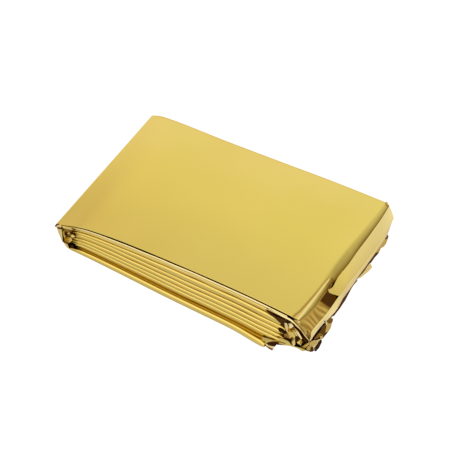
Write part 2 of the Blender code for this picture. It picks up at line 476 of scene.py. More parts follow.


# Crumpled film as small facets, each filled back to the plane that carries it.
# First comes the plane: its axis, its place along it and the way out. A facet is its tone (a painted
# highlight below 0, painted shade above 0), how far its top stands out, how much it leans out for each step
# down the camera's frame, and its corners there.
def makeFacets(name, s):
    back = cameraStand()[2]
    (axis, base, way), *facets = s.values()
    axis = "xyz".index(axis)
    points, faces, tones = [], [], []
    for tone, out, lean, *corners in facets:
        top = min(down for across, down in corners)
        stand = [base + way * (out + lean * (down - top)) for across, down in corners]
        front = onSights(corners, axis, stand, crumple["frontLow"])
        behind = onSights(corners, axis, [base] * len(corners), crumple["backLow"])
        turn = sum(np.cross(p, q) for p, q in zip(front, front[1:] + front[:1]))
        if turn @ back < 0:
            front.reverse()
            behind.reverse()
        first, n = len(points), len(front)
        points += front + behind
        faces.append(tuple(range(first, first + n)))
        faces.append(tuple(range(first + 2 * n - 1, first + n - 1, -1)))
        for i in range(n):
            a, b = first + i, first + (i + 1) % n
            faces.append((b, a, a + n, b + n))
        tones += [tone] * n + [max(tone, crumple["sideTone"])] * n
    piece = makeObject(name, points, faces, tones, smooth=False)
    soft = piece.data.attributes.new("crumpled", "FLOAT", "POINT")
    soft.data.foreach_set("value", np.ones(len(points)))
    return piece


# A round cord of film through places of the camera's frame, all at one size on an axis.
def makeRidge(name, s):
    axis = "xyz".index(s["axis"])
    marks = np.array(s["path"], float)
    along = lengthAlong(marks)
    places = np.linspace(0, along[-1], s["steps"])
    line = np.array([onSight(*mark, axis, s["size"]) for mark in throughPoints(marks, s["steps"])])
    radius = s["radius"] * readers(s["swell"], smooth=False)[0](places / along[-1])
    rings = []
    for i in range(len(line)):
        way = line[min(i + 1, len(line) - 1)] - line[max(i - 1, 0)]
        way /= np.linalg.norm(way)
        side = np.cross(way, [0, 1, 0])
        side /= np.linalg.norm(side)
        front = np.cross(side, way)
        turns = np.linspace(0, 2 * math.pi, s["sides"], endpoint=False)
        rings.append([line[i] + radius[i] * (side * math.cos(a) + front * math.sin(a)) for a in turns])
    rings = np.array(rings)
    return makeRings(name, rings, np.full(rings.shape[:2], s["tone"]))


packet = {
    "front": -42.7, "back": 42.7,
    # x, height of the upper side at the front edge and at the back edge
    "crown": [(-65.5, 14.2, 15.8), (-59.5, 16.5, 16.8), (-51.5, 19.4, 17.7), (-41.5, 21.2, 18.3),
        (-29, 22.4, 18.8), (-7, 23.7, 20.2), (15, 24.5, 21.8), (37, 24.9, 23.4), (65.5, 24, 24.6)],
    # x, how far the lowest layer's front edge stands out past the top layer's
    "spread": [(-65.5, 0), (-52, 0.3), (-29, 1.1), (-6, 2.1), (17, 2.7), (39, 3.4), (51, 4.2), (65.5, 4.6)],
    "cornerDepth": 1.7,  # how far the left back corner is cut back, and over which x
    "cornerStart": -59,
    "cornerReach": 6.5,
}
crownFront, crownBack = readers(packet["crown"])
spread = readers(packet["spread"])[0]
packetWidth = packet["back"] - packet["front"]


def crown(x, across):
    return crownFront(x) * (1 - across) + crownBack(x) * across


def cornerCut(x):
    s = packet
    return s["cornerDepth"] * np.clip((s["cornerStart"] - x) / s["cornerReach"], 0, 1) ** 2


# outer strip: thick lowest layer, wrap round the left end, top, and wall at the right end
outer = {
    # rows of each stretch of film along its path
    "rows": {"low": 44, "wrap": 60, "tip": 8, "corner": 21, "open": 57, "shoulder": 59,
             "under": 11, "slope": 39, "skirt": 29, "inward": 11},
    "columns": [(0.05, 8), (0.42, 61), (1, 35)],  # how many up to each share of the width
    "noseSteps": 5,
    "lowEnds": (52.8, -54),  # x of both ends of the lowest layer
    "lowShare": 0.073,  # half its thickness as a share of the packet's height
    "lowTip": 0.55,  # share of its thickness at its right end
    "lowNose": 1.2,
    "lowFlare": 0.8,  # how much further it stands out at its right end, and over which x
    "flareEnds": (32, 51),
    # x, z, half thickness
    "wrap": [(-55.5, 1.15, 1.1), (-58.3, 1.1, 0.8), (-60, 1.9, 0.6), (-61.1, 3.4, 0.5), (-62.6, 7, 0.5),
        (-64, 10.8, 0.5), (-64.9, 12.9, 0.4), (-65.05, 13.7, 0.25)],
    "wrapNose": 0.5,
    "topStarts": (-64.8, -63, -50),  # x where the tip, the corner and the open top start
    "leftFilm": 0.35,  # half thickness of the film at the left end
    "film": 0.12,  # half thickness of the single ply on top
    "thinEnds": (-62, -45),  # x over which one passes into the other
    "edgeBack": 0.5,  # how far the top's front edge stands back from the next layer
    "edgeEnds": (-54, -25),  # x over which it comes to that
    # y, x where the top bends down, x of its lip, slope once bent, how much more at the lip
    "shoulder": [(-42.7, 63.4, 68.4, 0.28, 0), (-40.5, 63.4, 68.8, 0.3, 0.05), (-36, 63.4, 69.2, 0.28, 0.2),
        (-30, 63.4, 69.5, 0.28, 0.35), (-24, 63.4, 69.1, 0.28, 0.45), (-18, 63.5, 68.9, 0.32, 0.55),
        (-12.4, 63.2, 68.8, 0.45, 0.45), (-8, 62.9, 68.6, 0.52, 0.4), (0, 62.4, 68.5, 0.56, 0.35),
        (9, 62.4, 68.1, 0.55, 0.35), (18, 62.9, 68, 0.54, 0.5), (28, 63.4, 67.8, 0.5, 0.45),
        (35.5, 63.8, 67.5, 0.48, 0.44), (42.7, 64, 66.9, 0.44, 0.4)],
    "bent": 0.5,  # share of the way to the lip over which it bends
    # y, x and z of the tuck behind the lip, of the end of the slope and of the rim, x of the foot
    "wall": [(-42.7, 66.6, 21.2, 73.9, 12.6, 73.3, 11, 72.4), (-40.5, 66.8, 20.9, 73, 13, 72.9, 10.6, 72),
        (-36, 66.7, 19.4, 72.4, 13, 72.4, 10, 71.5), (-29, 66.7, 18.9, 72.45, 12.7, 72.3, 9.4, 71),
        (-22, 67.4, 19, 72.6, 12.2, 72.5, 9.2, 70.2), (-14.5, 67.4, 18.6, 72.1, 12.4, 71.8, 8.8, 69.4),
        (0, 67.6, 18, 69, 13.4, 70.2, 7, 68.6), (15, 67.3, 18, 68.4, 12.5, 68.6, 5.5, 67.6),
        (28, 67, 18, 68.2, 12, 67.8, 5, 67.6), (42.7, 65.6, 20, 67.6, 15, 66, 4, 65)],
    "bareEnds": (-15, -11),  # y over which the flap covers the slope
    "bareTuck": (0.15, -0.4),  # x and z of an open slope's tuck, from the lip
    # y, x of the valley, x of the crest and height of the small pleat along the shoulder
    "pleat": [(-42.7, 65, 67.9, 1.35), (-40.9, 65.2, 68, 1.3), (-37.8, 65.8, 68, 1.12),
        (-33, 66.1, 67.8, 0.88), (-25, 66.4, 67.5, 0.7), (-17, 66.4, 67.2, 0.48), (-13, 66.5, 67, 0.2),
        (-11, 66.5, 66.8, 0), (42.7, 66.3, 66.7, 0)],
    "pleatFall": 0.35,  # how much of its height it loses from its crest to the lip
    "skirtIn": 0.6,  # how far the skirt draws in below the rim, and by what depth
    "skirtDrop": 2,
    "footHigh": 0.45,
    "footLow": 0.2,
    "heel": (0.8, 3),  # how far in from the foot the film is low
    "footEnd": 58,  # x where the film ends under the packet
    "footBack": 4.6,  # how far the wall's foot stands back behind its front edge
    "endBack": 3,
    "strokeDepth": 0.13,  # soft strokes down the slope
    "strokeWidth": 3.4,
    "strokeEnds": (-26, -16),  # y over which they end
    # tones of painted light and shade, and where they come in or go
    "insideTone": 2,  # painted deep shade on the inner side of the film
    "lowInside": 0.1,  # painted shade on the lowest layer's upper side
    "cutTone": 0.25,  # painted shade on the cut front edge at the right end
    "edgeTone": 0.9,  # painted shade on the top ply's cut front edge
    "edgeToneEnds": (-46, -2),
    "frontTone": 0.26,  # painted shade on the open top near its front and painted highlight near its back
    "frontToneEnds": (-46, 14),
    "backTone": -0.12,
    "backToneEnds": (0, 44),
    "crestValleyPaintWidth": 0.6,  # width of the painted highlight on the pleat's crest and the painted shade in its valley, and the pleat's height where they are full
    "crestValleyPaintRise": 0.3,
    "underTone": 1.6,  # painted shade under the lip, and how much paler it is at the front
    "underPaler": 0.7,
    "underEnds": (-21, -18),
    # painted shade down the slope, with painted streaks of light and shade
    "slopeTone": 0.85,
    "strokeTone": 0.36,
    "strokeLean": 5.5,  # how far back the strokes lean at their feet
    "gapTone": 1.1,  # how much deeper the painted shade on the slope gets beside the flap
    "gapStart": (-27, -25.4),
    "gapEnd": (-10, -6),
    "gapLean": 6.5,
    # painted deep shade on the skirt behind the band
    "skirtTone": 1.7,
}


def readAll(reads, y):
    return [read(y) for read in reads]


wallRead = readers(outer["wall"])
shoulderRead = readers(outer["shoulder"])
pleatRead = readers(outer["pleat"], smooth=False)


# Height of the top at x between its bend and its lip, with the small pleat.
def shoulderHeight(x, y):
    start, lip, slope, more = readAll(shoulderRead, y)
    across = (y - packet["front"]) / packetWidth
    share = np.clip((x - start) / (lip - start), 0, 1)
    bend = outer["bent"]
    turn = np.minimum(share / bend, 1)
    fall = slope * (bend * (turn ** 3 - turn ** 4 / 2) + np.maximum(share - bend, 0))
    fall = fall + more * share ** 5 / 5
    height = crown(start, across) - (lip - start) * fall
    valley, crest, rise = readAll(pleatRead, y)
    up = np.clip((x - valley) / (crest - valley), 0, 1)
    down = np.clip((x - crest) / (lip + 0.5 - crest), 0, 1)
    return height + rise * up * (1 - outer["pleatFall"] * down ** 1.5)


def lipAt(y):
    x = shoulderRead[1](y)
    return x, shoulderHeight(x, y)


# Tuck, end of the slope, rim and foot of the wall at y; an open slope has its tuck at the lip.
def wallAt(y):
    tuckX, tuckZ, slopeX, slopeZ, rimX, rimZ, footX = readAll(wallRead, y)
    lipX, lipZ = lipAt(y)
    bare = 1 - eased(y, *outer["bareEnds"])
    tuckX += (lipX + outer["bareTuck"][0] - tuckX) * bare
    tuckZ += (lipZ + outer["bareTuck"][1] - tuckZ) * bare
    return tuckX, tuckZ, slopeX, slopeZ, rimX, rimZ, footX


# Even places from the start through a few ends, with so many up to each.
def throughEnds(start, ends):
    places = [start]
    for end, count in ends:
        places += list(onward(places[-1], end, count))
    return np.array(places)


# The rows of the outer strip from one stretch of film to another.
def stretch(first, last=None):
    names = list(outer["rows"])
    counts = list(outer["rows"].values())
    return slice(sum(counts[:names.index(first)]), sum(counts[:names.index(last or first) + 1]))


# Uneven strokes, about one for each unit of run.
def stroke(run, shift):
    return np.sin(run * 2 * math.pi + 1.1 * np.sin(run * 2.2) + shift)


def outerRows(across):
    s = outer
    count = s["rows"]
    y = packet["front"] + packetWidth * across

    def rows(x, z, half, frontOut, nose):
        one = np.ones_like(x)
        front = packet["front"] - frontOut * one
        return np.stack([x, z * one, half * one, front, packet["back"] - cornerCut(x), nose * one], 1)

    x = np.linspace(*s["lowEnds"], count["low"])
    half = s["lowShare"] * crownFront(x)
    out = spread(x) + s["lowFlare"] * eased(x, *s["flareEnds"]) - s["lowNose"]
    low = rows(x, half, half, out, s["lowNose"])
    low[0, 2] *= s["lowTip"]
    wrap = rows(*throughPoints(s["wrap"], count["wrap"]).T, -s["wrapNose"], s["wrapNose"])
    bend = shoulderRead[0](y)
    tipX, cornerX, openX = s["topStarts"]
    x = throughEnds(tipX, [(cornerX, count["tip"] - 1), (openX, count["corner"]), (bend, count["open"])])
    half = s["leftFilm"] - (s["leftFilm"] - s["film"]) * eased(x, *s["thinEnds"])
    top = rows(x, crown(x, across) - half, half, -0.5 * half, 0.5 * half)
    top[:, 3] += s["edgeBack"] * eased(x, *s["edgeEnds"])

    tuckX, tuckZ, slopeX, slopeZ, rimX, rimZ, footX = wallAt(y)
    lipX = lipAt(y)[0]
    x = onward(bend, lipX, count["shoulder"])
    shoulder = np.stack([x, shoulderHeight(x, y) - s["film"]], 1)
    share = onward(0, 1, count["under"])[:, None]
    under = np.array([(lipX, shoulder[-1, 1])]) * (1 - share) + np.array([(tuckX, tuckZ)]) * share
    middle = 0.5 * (tuckX + slopeX), 0.5 * (tuckZ + slopeZ)
    slope = throughPoints([(tuckX, tuckZ), middle, (slopeX, slopeZ)], count["slope"] + 1)[1:]
    share = onward(0, 1, count["slope"])
    run = (y - slope[:, 0]) / s["strokeWidth"]
    strokes = stroke(run, 0) + 0.5 * np.sin(run * 9.1 + 2 * share)
    strokes *= s["strokeDepth"] * np.sin(math.pi * share) ** 0.7 * (1 - eased(y, *s["strokeEnds"]))
    slope = slope + 0.7 * strokes[:, None]
    drawn = 0.5 * (rimX + footX) - s["skirtIn"], 0.5 * rimZ
    pinched = rimX - s["skirtIn"], rimZ - s["skirtDrop"]
    skirt = throughPoints([(slopeX, slopeZ), (rimX, rimZ), pinched, drawn, (footX, s["footHigh"])],
                          count["skirt"] + 1)[1:]
    inward = throughPoints([(footX, s["footHigh"]), *((footX - back, s["footLow"]) for back in s["heel"]),
                            (s["footEnd"], s["footLow"])], count["inward"] + 1)[1:]
    down = np.concatenate([shoulder, under, slope, skirt, inward])
    stand = np.concatenate([np.zeros(len(shoulder) + len(under) + len(slope)),
                            np.linspace(0, s["footBack"], len(skirt)),
                            np.linspace(s["footBack"], s["endBack"], len(inward))])
    side = rows(*down.T, s["film"], -stand - s["film"], s["film"])
    side[:, 3] += s["edgeBack"] * (1 - np.clip(np.arange(len(side)) / len(shoulder), 0, 1))
    return np.concatenate([low, wrap, top, side])


def makeOuter():
    s = outer
    across = throughEnds(0, s["columns"])
    rings = stripRings(np.stack([outerRows(v) for v in across]), across, s["noseSteps"])
    upper, lower, frontEdge = ringColumns(len(across), s["noseSteps"])
    y = packet["front"] + packetWidth * across
    # shade paints light and shade onto the film: deep shade on its inner side and edges, shade to the front
    # of the top, highlight to its back
    shade = np.zeros(rings.shape[:2])
    shade[:, lower] = s["insideTone"]
    shade[:, frontEdge] = s["cutTone"]
    low = stretch("low", "wrap")
    shade[low, frontEdge] = 0.0
    shade[low, lower] = s["lowInside"]
    top = stretch("tip", "open")
    shade[top, frontEdge] = (s["edgeTone"] * eased(rings[top, 0, 0], *s["edgeToneEnds"]))[:, None]
    nearFront = 1 - eased(y, *s["frontToneEnds"])
    nearBack = eased(y, *s["backToneEnds"])
    shade[stretch("tip", "shoulder"), upper] = s["frontTone"] * nearFront + s["backTone"] * nearBack
    # painted highlight along the pleat's crest and painted shade along its valley
    valley, crest, rise = readAll(pleatRead, y)
    x = rings[stretch("shoulder"), upper, 0]
    width = s["crestValleyPaintWidth"]
    crestLightValleyShade = np.exp(-((x - crest + 0.3) / width) ** 2) - 0.8 * np.exp(-((x - valley + 0.2) / width) ** 2)
    shade[stretch("shoulder"), upper] -= crestLightValleyShade * eased(rise, 0, s["crestValleyPaintRise"])
    # painted shade under the lip, then down the slope with painted streaks and deeper painted shade beside
    # the flap
    shade[stretch("under"), upper] = s["underTone"] - s["underPaler"] * (1 - eased(y, *s["underEnds"]))
    share = np.linspace(0, 1, s["rows"]["slope"])[:, None]
    run = (y - s["strokeLean"] * share) / s["strokeWidth"]
    streak = stroke(run, 1.4 * np.sin(3.0 * share + 1.3 * run)) * np.sin(math.pi * share) ** 0.6
    streak = s["strokeTone"] * streak
    gap = eased(y - s["gapLean"] * share, *s["gapStart"]) * (1 - eased(y, *s["gapEnd"]))
    shade[stretch("slope"), upper] = s["slopeTone"] + streak + gap * (s["gapTone"] - streak)
    # painted deep shade behind the band
    shade[stretch("skirt"), upper] = s["skirtTone"]
    return makeRings("outerWrap", rings, shade)


# inner strip: eight layers, back and forth inside the outer one
inner = {
    # middle of each layer and half its thickness, as shares of the height, at the left, then at the right
    "layers": {
        1: (0.195, 0.05, 0.1975, 0.045), 2: (0.31, 0.047, 0.2965, 0.046), 3: (0.414, 0.05, 0.395, 0.046),
        4: (0.524, 0.052, 0.5, 0.052), 5: (0.645, 0.06, 0.6075, 0.048), 6: (0.752, 0.038, 0.7305, 0.066),
        7: (0.83, 0.03, 0.8515, 0.046), 8: (0.905, 0.034, 0.937, 0.027)},
    "blendEnds": (-60, 10),  # x over which the left shares pass into the right ones
    "rows": 62,  # of each layer, and of each turn
    "turnRows": 15,
    "columns": [0, 0.005, 0.02, 0.08, 0.248, 0.416, 0.584, 0.752, 0.92, 0.97, 0.99, 1],
    "setBack": {1: 1.9, 2: 0.3, 3: 0.1, 4: 0, 5: 0.15, 6: 0, 7: 0.35, 8: -0.05},
    "nose": {1: 0.6, 7: 1, 8: 0.8},
    "usualNose": 1.35,
    "noseSteps": 11,
    "lobes": 0.05,
    "leftTurns": {1: -58.8, 3: -60.1, 5: -61.4, 7: -62.4},
    "rightTurns": {2: 60.3, 4: 60.3, 6: 59.6},
    "turnFill": 0.82,  # most of a turn's radius that its film fills
    "ends": (58, 62),
    "wander": 0.12,  # how far the front edges wander, and the waves of that
    "wanderWaves": (6, 14, 90),
    "swell": 0.07,  # how much the layers swell, and the waves of that
    "swellWaves": (5, 18, 80),
    "backIn": 0.5,  # how far the back edges stand in, and wander
    "backWander": 0.3,
    # painted shade on the film between the layers
    "deepTone": 1.4,
    "shadeRamp": [0.15, 0.7, 1],  # how much painted shade the film gets in from its front edge
    "lowRamp": [0.05, 0.35, 0.6],  # the same on the two lowest layers
    "topRamp": [0.5, 1.6, 1.9],  # the same on the layer right below the top ply
    "topRampEnds": (-52, -10),  # x over which that comes in
    "noseTone": {1: 0.5, 8: -0.75},  # painted highlight (paler) or painted shade (deeper) on a layer's front edge
}
wander = {k: waves(20 + k, *inner["wanderWaves"]) for k in inner["layers"]}
swell = {k: waves(40 + k, *inner["swellWaves"]) for k in inner["layers"]}


def layerRun(k, places, across):
    s = inner
    x = np.asarray(places, float)
    leftMid, leftHalf, rightMid, rightHalf = s["layers"][k]
    share = eased(x, *s["blendEnds"])
    height = crown(x, across)
    mid = (leftMid + (rightMid - leftMid) * share) * height
    half = (leftHalf + (rightHalf - leftHalf) * share) * height * (1 + s["swell"] * swell[k](x))
    out = spread(x) * (1 - mid / height) - s["setBack"][k] + s["wander"] * wander[k](x)
    nose = s["nose"].get(k, s["usualNose"]) * np.ones_like(x)
    back = packet["back"] - s["backIn"] - cornerCut(x) - s["backWander"] * wander[k](x + 30)
    return np.stack([x, mid, half, packet["front"] - out + nose, back, nose], 1)


def turnRun(k, x, side, across):
    low = layerRun(k, [x], across)[0]
    high = layerRun(k + 1, [x], across)[0]
    radius = (high[1] - low[1]) / 2
    rows = []
    for share in np.linspace(0, 1, inner["turnRows"] + 2)[1:-1]:
        a = math.pi * share
        row = low + (high - low) * share
        row[0] = x + side * radius * math.sin(a)
        row[1] = low[1] + radius * (1 - math.cos(a))
        row[2] = min(row[2], radius * inner["turnFill"])
        rows.append(row)
    return np.array(rows)


def innerRows(across):
    s = inner
    rows = []
    lastX = s["ends"][0]
    for k in s["layers"]:
        turns, side = (s["leftTurns"], -1) if k % 2 else (s["rightTurns"], 1)
        target = turns.get(k, s["ends"][1])
        rows.append(layerRun(k, np.linspace(lastX, target, s["rows"]), across))
        if k < len(s["layers"]):
            rows.append(turnRun(k, target, side, across))
        lastX = target
    return np.concatenate(rows)


def makeInner():
    s = inner
    rows = np.stack([innerRows(v) for v in s["columns"]])
    rings = stripRings(rows, s["columns"], s["noseSteps"], s["lobes"])
    upper, lower, frontEdge = ringColumns(len(s["columns"]), s["noseSteps"])
    ramp = s["shadeRamp"]
    upperFront = slice(0, len(ramp))  # the columns next to the front edge
    lowerFront = slice(lower.stop - len(ramp), lower.stop)
    # painted shade between the layers, fading towards each front edge, and painted highlight or shade on
    # some noses
    shade = np.zeros(rings.shape[:2])
    shade[:, upper] = s["deepTone"]
    shade[:, lower] = s["deepTone"]
    shade[:, upperFront] = ramp
    shade[:, lowerFront] = ramp[::-1]
    for k in s["layers"]:
        start = (k - 1) * (s["rows"] + s["turnRows"])
        layer = slice(start, start + s["rows"])
        shade[layer, frontEdge] = s["noseTone"].get(k, 0.0)
        if k < 3:
            shade[layer, upperFront] = s["lowRamp"]
            shade[layer, lowerFront] = s["lowRamp"][::-1]
        if k == len(s["layers"]):
            deeper = eased(rings[layer, 0, 0], *s["topRampEnds"])[:, None]
            shade[layer, upperFront] += (np.array(s["topRamp"]) - ramp) * deeper
    return makeRings("innerLayers", rings, shade)


# flap folded down over the right end, and the band along its lower rim
flap = {
    # y, how far its upper edge stands out from the lip and below it, x and z of its lower edge
    "sheet": [(-18, 0.3, -0.1, 69.4, 20.9), (-16.8, 0.5, -0.6, 70.5, 19.4), (-14.6, 0.7, -1.2, 71.4, 17),
        (-12, 0.5, -0.8, 72, 14.4), (-8, 0.12, -0.1, 71.6, 13.5), (0, 0.12, -0.1, 70.8, 12.1),
        (15, 0.12, -0.1, 70, 10), (28, 0.12, -0.1, 69.6, 9.9), (35, 0.12, -0.1, 69.6, 11.5),
        (42.7, 0.12, -0.1, 69.85, 16.3)],
    "sheetSize": (90, 14),  # rows and columns
    "bow": 0.25,
    # y, then x and z of its upper edge and of its rim
    "band": [(-42.2, 74.1, 14.4, 74.4, 13), (-36.5, 71.9, 14.5, 73.2, 11.5), (-25.5, 72.2, 14, 72.9, 10),
        (-19.5, 72.2, 14, 73.5, 10.2), (-14.5, 71.9, 14, 73.2, 10), (-9, 71.6, 13.8, 72.2, 9.3),
        (0, 70.9, 12.7, 71.35, 8.2), (9.7, 70.3, 11.3, 70.6, 8), (21.8, 70, 10.6, 70.1, 7.9),
        (31.4, 69.7, 11.6, 69.7, 8.4), (37.8, 69.8, 14, 69.2, 8.2), (42.7, 70.1, 17.2, 67, 3.2)],
    "bandSize": (110, 8),
    "bandBow": 0.12,
    "thick": 0.2,
    "proud": 0.25,  # how far the band stands out from the wall, at least
    "above": 0.04,  # how far its upper edge stands out from the flap, and where
    "aboveEnds": (-10, -6),
    "rimTurns": (50, 100, 150, 180),
    "rimRadius": 0.35,
    "hem": (0.8, 1),  # how far in and how far up its film ends behind the rim
    "sheetTone": [(-18, 0.38), (-3, 0), (20, -0.45), (42.7, -0.75)],  # painted light and shade on the flap by y: painted shade at the front, painted highlight to the back
    "bandTone": [(0, -0.4), (3, -0.7), (6, -1), (12, -1)],  # painted highlight on the band by column, from its upper edge, palest at its rim
}


def makeFlap():
    s = flap
    outX, downZ, endX, endZ = readers(s["sheet"])
    rows, columns = s["sheetSize"]
    places = np.linspace(s["sheet"][0][0], s["sheet"][-1][0], rows)
    grid = []
    for y in places:
        line = []
        lipX, lipZ = lipAt(y)
        for share in np.linspace(0, 1, columns):
            x = (lipX + outX(y)) * (1 - share) + endX(y) * share + s["bow"] * math.sin(math.pi * share)
            z = (lipZ + downZ(y)) * (1 - share) + endZ(y) * share
            line.append((x, y, z))
        grid.append(line)
    tone = readers(s["sheetTone"], smooth=False)[0](places)
    sheet = makeSheet("flap", grid, s["thick"], np.repeat(tone, columns))
    upperX, upperZ, lowerX, lowerZ = readers(s["band"])
    rows, columns = s["bandSize"]
    grid = []
    for y in np.linspace(s["band"][0][0], s["band"][-1][0], rows):
        line = []
        tuckX, tuckZ, slopeX, slopeZ, rimX, rimZ = wallAt(y)[:6]
        lipX, lipZ = lipAt(y)
        topX, topZ = lipX + outX(y), lipZ + downZ(y)
        high = (upperZ(y) - endZ(y)) / (topZ - endZ(y))
        flush = endX(y) + (topX - endX(y)) * high + s["bow"] * math.sin(math.pi * high) + s["above"]
        onFlap = eased(y, *s["aboveEnds"])
        startX = upperX(y) * (1 - onFlap) + flush * onFlap
        for share in np.linspace(0, 1, columns):
            x = startX * (1 - share) + lowerX(y) * share + s["bandBow"] * math.sin(math.pi * share)
            z = upperZ(y) * (1 - share) + lowerZ(y) * share
            carrier = np.interp(-z, [-tuckZ, -slopeZ, -rimZ], [tuckX, slopeX, rimX])
            line.append((max(x, carrier + s["proud"]), y, z))
        for turn in s["rimTurns"]:
            a = math.radians(turn)
            inward = s["rimRadius"] * (1 - math.cos(a))
            line.append((lowerX(y) - inward, y, lowerZ(y) - s["rimRadius"] * math.sin(a)))
        line.append((lowerX(y) - s["hem"][0], y, lowerZ(y) + s["hem"][1]))
        grid.append(line)
    tone = readers(s["bandTone"], smooth=False)[0](np.arange(len(grid[0])))
    return sheet, makeSheet("rimBand", grid, s["thick"], np.tile(tone, len(grid)))


# gathered film at the right front corner
cornerEdge = {
    # a pale cord: its tone is a painted highlight
    "axis": "y", "size": -43.5, "radius": 0.62, "tone": -0.8, "steps": 40, "sides": 12,
    "swell": [(0, 0.25), (0.35, 1), (0.8, 1), (1, 0.6)],  # share of the radius by share of the way
    "path": [(268, 308.6), (275.4, 312.2), (283.6, 316.6), (290.7, 320.3), (293.8, 322.6), (297.5, 326),
        (300.9, 329.7), (305, 335), (309.4, 340.9)],
}
rosette = {
    # each facet's first number is its tone: below 0 a painted highlight, above 0 painted shade; the backing
    # is a sheet of painted shade behind the facets
    "plane": ("y", -43, -1),
    "backing": (1.2, 0.3, 0, (283, 320.5), (294, 324.5), (298.2, 327.3), (303.2, 334.3), (308, 341.2),
        (302.2, 347.3), (294, 347.3), (287, 344), (285, 335)),
    "wine": (1.1, 0.9, 0, (298.8, 333), (303, 337), (307.6, 341.6), (302, 346.9), (299.8, 346.6),
        (302.2, 343.1), (302.6, 339.9)),
    "gap": (1.9, 1.6, 0, (265, 309.6), (271.8, 313.6), (278, 317.7), (283.6, 319), (287.7, 321.2),
        (290.7, 322.6), (285, 323.4), (284.1, 325.2), (282.6, 324.7), (279.5, 322.7), (276.4, 319.7),
        (270.3, 314.8)),
    "eye": (2, 3.3, 0, (277.4, 329), (279.7, 328.7), (284, 331), (285.4, 333.2), (283, 333.4),
        (279.7, 332.1)),
    "brown": (1.1, 3.2, 0, (284, 334), (287, 333.6), (289.3, 336.6), (290.4, 341), (287, 340),
        (284.5, 337.4)),
    "nook": (1.9, 3.3, 0, (287.5, 340.4), (289.3, 338.4), (290.6, 341.2), (290, 342.2)),
    "strip": (-0.6, 2, 0.27, (284.3, 322.8), (286.9, 323.2), (288.1, 327.1), (287.7, 331.9), (286.1, 331.1),
        (284.9, 326.7)),
    "tip": (-0.9, 1.2, 0.42, (286.7, 323), (291.3, 322.9), (293.7, 326.7), (290.1, 328.6), (288.1, 327)),
    "bud": (-0.1, 2, 0.28, (288.1, 327), (290.1, 328.4), (290.9, 331.9), (293.3, 332.7), (295.3, 335.9),
        (294.6, 339), (292.5, 336.7), (290.6, 334), (288.1, 331.4)),
    "olive": (0.2, 2.4, 0.26, (286.1, 331.1), (288.1, 331.4), (290.6, 334), (292.5, 336.7), (289.9, 338.4),
        (288.5, 334.9)),
    "ridge": (-0.4, 1.4, 0.34, (290.1, 328.3), (291.8, 327.4), (293.2, 329.4), (295.6, 332.3),
        (297.8, 336.1), (295.3, 335.9), (293.3, 332.7), (290.9, 331.9)),
    "edge": (-1, 0.8, 0.4, (292.6, 327.4), (294.2, 326.9), (298.2, 331.6), (300.4, 335.4), (302.1, 338.6),
        (301.2, 339.4), (299, 336.6), (296.2, 332.6)),
    "slit": (1.9, 3.5, 0, (295.3, 336.1), (296.6, 336.5), (296.3, 341), (295.8, 346.9), (294.4, 346.6),
        (295.3, 341)),
    "leaf": (-0.3, 1.4, 0.33, (289.9, 338.2), (292.5, 336.7), (294.9, 339.1), (295.2, 343.9), (294.2, 346.6),
        (292.1, 344.1), (290.9, 341)),
    "lens": (-0.2, 1.5, 0.33, (296.5, 337.6), (299.4, 336.7), (301.4, 339.1), (300.4, 341.4), (299.6, 344.6),
        (298.2, 343.9), (296.6, 342.3)),
    "lensSide": (-0.8, 1.6, 0.29, (301.4, 339.1), (302.2, 342.3), (300.8, 345.6), (299.6, 344.6),
        (300.4, 341.4)),
    "hemShade": (0.35, 2.4, 0.2, (261.6, 336.8), (268, 338.4), (275, 340.6), (272, 342.6), (266.6, 342),
        (262.4, 340.6)),
    "hem": (-0.1, 3.2, 0.22, (267, 340.6), (273, 340.2), (277.3, 340.4), (284, 341.8), (290.1, 344),
        (294.5, 346.3), (300, 347.8), (304.5, 349.6), (305.4, 351.2), (302.2, 351.2), (296.6, 347.9),
        (290.1, 346.2), (284.5, 345), (277.7, 343.4), (270, 343), (264.4, 343.6)),
    "hemLine": (0.9, 4.3, 0, (272, 341.6), (278, 341.8), (285, 343.4), (285, 344), (278, 342.6),
        (272, 342.2)),
    "fan": (-0.1, 3, 0.22, (279.5, 338), (284, 338.6), (288, 341), (290.6, 343.7), (290.1, 345),
        (284, 342.6), (279, 341.4)),
    "fanLine": (1.3, 3.9, 0, (277, 336.2), (283, 338.3), (288.6, 340.9), (288.4, 341.5), (283, 339.1),
        (277, 336.9)),
    "tuck": (-0.2, 1, 0.28, (298.2, 347.1), (302.2, 346.2), (309, 342.3), (309.6, 343.9), (305, 348.3),
        (302.2, 350.4)),
}
cornerTuck = {
    # each facet's first number is its tone: below 0 a painted highlight, above 0 painted shade
    "plane": ("y", -42.8, -1),
    "olive": (0.5, 0.3, 0.22, (293.6, 319.8), (298, 319.6), (300.6, 322.4), (303.4, 326.2), (307.4, 332.6),
        (304.6, 332.2), (300.6, 327.4), (296.8, 323.6)),
    "spot": (-0.9, 0.9, 0.34, (297.2, 320.6), (299.4, 321.2), (300.4, 323), (298.2, 322.8)),
    "foot": (0.9, 0.7, 0, (306.2, 330.6), (308.4, 331.4), (311.2, 335.6), (309.8, 339.4), (306.8, 335)),
    "green": (1.2, 1.8, 0, (300.4, 323.6), (302.4, 324.8), (304.6, 328.6), (302.8, 328)),
}
tornTab = {
    # each facet's first number is its tone: below 0 a painted highlight, above 0 painted shade
    "plane": ("y", -45, -1),
    "inside": (2, 2.6, 0, (266, 342.8), (270.6, 341.9), (278.2, 342.1), (276.4, 344.8), (274.8, 346.8),
        (268.3, 345.3)),
    "lining": (-1, 1.2, 0.3, (264.3, 343), (266.4, 343.6), (273.8, 346.9), (274.6, 346.2), (273.4, 348.5),
        (272.6, 348.6), (266, 345.6)),
    "rim": (1.5, 1.9, 0, (264, 344.9), (266, 345.6), (272.6, 348.5), (273.8, 348.2), (272.3, 350.6),
        (269, 349)),
}
